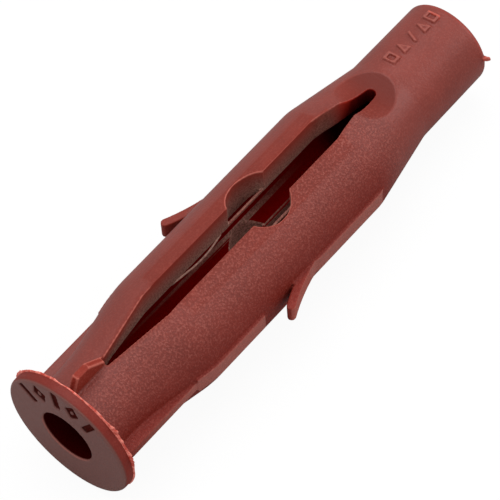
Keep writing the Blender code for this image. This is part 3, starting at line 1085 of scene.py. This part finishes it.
# The torn flares, each with its angle and width in degrees and its strength.
FLARES = ((150, 14, 0.35), (45, 5, 1.0), (33, 5, 0.3), (14, 7, 0.8), (205, 12, 0.3))
FLARE_WAVES = 25.0
FLARE_LEVEL = 0.75
FLARE_HEIGHT = 0.9


def flash_reach(angle, sizes):
    """How far the flash stands out at an angle: torn and uneven, with a few flares."""
    place = Vector((math.cos(angle), math.sin(angle), 0.0))
    coarse = COARSE_HEIGHT * noise.noise(place * COARSE_WAVES + COARSE_PLACE)
    fine = FINE_HEIGHT * noise.noise(place * FINE_WAVES)
    reach = sizes.reach * max(LEAST_REACH, 1.0 + coarse + fine)
    torn = FLARE_LEVEL + FLARE_HEIGHT * noise.noise(place * FLARE_WAVES)
    for degrees, width, strength in FLARES:
        away = math.remainder(angle - math.radians(degrees), 2 * math.pi) / math.radians(width)
        reach += sizes.flare * strength * torn * math.exp(-away * away)
    return reach


def flash_mesh(sizes):
    """A thin fin round the collar's back edge, kept inside the solid's box."""
    low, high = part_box(NODE)
    lowest = PLUG.translation.z - low.z
    highest = high.z - PLUG.translation.z
    back = COLLAR_THICKNESS + FLASH_BACK
    front = back - sizes.thickness
    root = COLLAR_RADIUS - FLASH_ROOT
    shape = bmesh.new()
    loops = []
    for index in range(FLASH_STEPS):
        angle = 2 * math.pi * index / FLASH_STEPS
        rise = math.sin(angle)
        limit = min(highest, lowest) / max(abs(rise), LEAST_RISE) - FLASH_BOX_MARGIN
        edge = min(COLLAR_RADIUS + flash_reach(angle, sizes), limit)
        edge = max(edge, COLLAR_RADIUS - FLASH_NOTCH)
        place = Vector((math.cos(angle), rise, FLASH_LEAN_LEVEL))
        tip = back + FLASH_LEAN * noise.noise(place * FLASH_LEAN_WAVES)
        section = (
            (root, back), (edge, tip), (edge, tip - FLASH_EDGE * sizes.thickness),
            (COLLAR_RADIUS - FLASH_FOOT, front), (root, front),
        )
        loops.append([
            shape.verts.new((radius * math.cos(angle), station, radius * rise))
            for radius, station in section
        ])
    join_loops(shape, loops)
    return finished_shape(shape, "collar_flash")


STRAND_START = 18.0 * MM
STRAND_END = 25.4 * MM
STRAND_BOW = 0.36 * MM
STRAND_BOW_POWER = 1.2
STRAND_DROP = 0.4
STRAND_RADIUS = 0.12 * MM
STRAND_PLACE = (-1.76 * MM, 3.1 * MM)
STRAND_STEPS = 40
STRAND_SIDES = 8


def strand_mesh():
    """A thin strand of flash that bows out and down from the inner edge of the slot's wall."""
    shape = bmesh.new()
    loops = []
    for index in range(STRAND_STEPS + 1):
        share = index / STRAND_STEPS
        bow = STRAND_BOW * math.sin(math.pi * share ** STRAND_BOW_POWER)
        centre = (STRAND_PLACE[0] + bow, STRAND_PLACE[1] - STRAND_DROP * bow)
        station = STRAND_START + share * (STRAND_END - STRAND_START)
        loops.append([])
        for corner in range(STRAND_SIDES):
            turn = 2 * math.pi * corner / STRAND_SIDES
            across = centre[0] + STRAND_RADIUS * math.cos(turn)
            up = centre[1] + STRAND_RADIUS * math.sin(turn)
            loops[-1].append(shape.verts.new((across, station, up)))
    join_loops(shape, loops, False)
    for end in (loops[0], loops[-1]):
        shape.faces.new(end)
    return finished_shape(shape, "slot_strand")


# The flash's colours, as shades of the lips', the painted highlights' and the walls' colours.
PALE_FLASH_LIP = 1.3
PALE_FLASH_EDGE = 1.5
BROWN_FLASH_DARK = 0.8
BROWN_FLASH_LIGHT = 1.3


class WALLPLUG_OT_flash(bpy.types.Operator):
    """Make the thin flash: torn round the collar's back edge, and a strand along the slot"""

    bl_idname = "wall_plug.flash"
    bl_label = "Make Flash"

    def execute(self, context):
        settings = context.scene.wall_plug
        looks = settings.plastic
        painted_highlight = torn_material(
            "pale_flash", shaded(looks.lip, PALE_FLASH_LIP), shaded(looks.painted_highlight, PALE_FLASH_EDGE)
        )
        brown = torn_material(
            "brown_flash", shaded(looks.wall, BROWN_FLASH_DARK), shaded(looks.wall, BROWN_FLASH_LIGHT)
        )
        for mesh, material in ((flash_mesh(settings.flash), painted_highlight), (strand_mesh(), brown)):
            mesh.transform(PLUG)
            mesh.shade_smooth()
            mesh.materials.append(material)
            flash = link_object(mesh.name, mesh)
            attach(flash, BODY)
        return {"FINISHED"}


CAMERA_PLACE = Vector((121.849, -100.7057, 263.2268)) * MM
CAMERA_TURN = Euler((math.radians(33.7482), math.radians(2.7642), math.radians(39.3954)))
CAMERA_NEAR = 0.01
SENSOR = 36.0
FLOOR_SIZE = 3.0
KEY_PLACE = Vector((-0.12, 0.05, 0.45))
KEY_SIZE = 0.5
FILL_PLACE = Vector((0.2, 0.38, 0.24))
FILL_SIZE = 0.3


def add_floor(shadow_share):
    shape = bmesh.new()
    bmesh.ops.create_grid(shape, x_segments=1, y_segments=1, size=FLOOR_SIZE / 2)
    mesh = bpy.data.meshes.new("floor")
    shape.to_mesh(mesh)
    shape.free()
    mesh.materials.append(white_material(shadow_share))
    link_object("floor", mesh)


def add_lamp(name, place, size, power, target):
    """A round soft lamp that shines on a target."""
    lamp = bpy.data.lights.new(name, "AREA")
    lamp.shape = "DISK"
    lamp.size = size
    lamp.energy = power
    thing = link_object(name, lamp)
    thing.location = place
    thing.rotation_euler = (target - place).to_track_quat("-Z", "Y").to_euler()


def add_sky(strength):
    world = bpy.data.worlds.new("sky")
    world.use_nodes = True
    background = world.node_tree.nodes["Background"]
    background.inputs["Color"].default_value = (*WHITE, 1.0)
    background.inputs["Strength"].default_value = strength
    return world


def add_camera(lens):
    camera = link_object("camera", bpy.data.cameras.new("camera"))
    camera.matrix_world = PLUG @ Matrix.LocRotScale(CAMERA_PLACE, CAMERA_TURN, None)
    camera.data.sensor_width = SENSOR
    camera.data.lens = lens
    camera.data.clip_start = CAMERA_NEAR
    return camera


class WALLPLUG_OT_stage(bpy.types.Operator):
    """Make the white floor, the soft lamps and the camera"""

    bl_idname = "wall_plug.stage"
    bl_label = "Make Stage"

    def execute(self, context):
        scene = context.scene
        stage = scene.wall_plug.stage
        low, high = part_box(NODE)
        middle = (low + high) / 2
        add_floor(stage.shadow_share)
        add_lamp("key", KEY_PLACE, KEY_SIZE, stage.key_power, middle)
        add_lamp("fill", FILL_PLACE, FILL_SIZE, stage.fill_power, middle)
        scene.world = add_sky(stage.sky)
        scene.camera = add_camera(stage.lens)
        scene.view_settings.view_transform = "Standard"
        return {"FINISHED"}


class WALLPLUG_PT_panel(bpy.types.Panel):
    """The plug's sizes, colours and buttons"""

    bl_idname = "WALLPLUG_PT_panel"
    bl_label = "Wall Plug"
    bl_space_type = "VIEW_3D"
    bl_region_type = "UI"
    bl_category = "Wall Plug"

    def draw(self, context):
        settings = context.scene.wall_plug
        for group in (settings.moulding, settings.flash, settings.plastic, settings.stage):
            box = self.layout.box()
            for name in group.__annotations__:
                box.prop(group, name)
        for operator in OPERATORS:
            self.layout.operator(operator.bl_idname)


OPERATORS = (WALLPLUG_OT_moulding, WALLPLUG_OT_flash, WALLPLUG_OT_stage)
CLASSES = (
    WALLPLUG_PG_moulding, WALLPLUG_PG_flash, WALLPLUG_PG_plastic, WALLPLUG_PG_stage,
    WALLPLUG_PG_settings, *OPERATORS, WALLPLUG_PT_panel,
)


def register():
    for kind in CLASSES:
        bpy.utils.register_class(kind)
    bpy.types.Scene.wall_plug = PointerProperty(type=WALLPLUG_PG_settings)


def unregister():
    del bpy.types.Scene.wall_plug
    for kind in reversed(CLASSES):
        bpy.utils.unregister_class(kind)


def corners(bounds):
    return [list(corner) for corner in bounds]


def main():
    register()
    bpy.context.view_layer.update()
    bpy.ops.wall_plug.moulding()
    bpy.ops.wall_plug.flash()
    bpy.ops.wall_plug.stage()


if __name__ == "__main__":
    main()
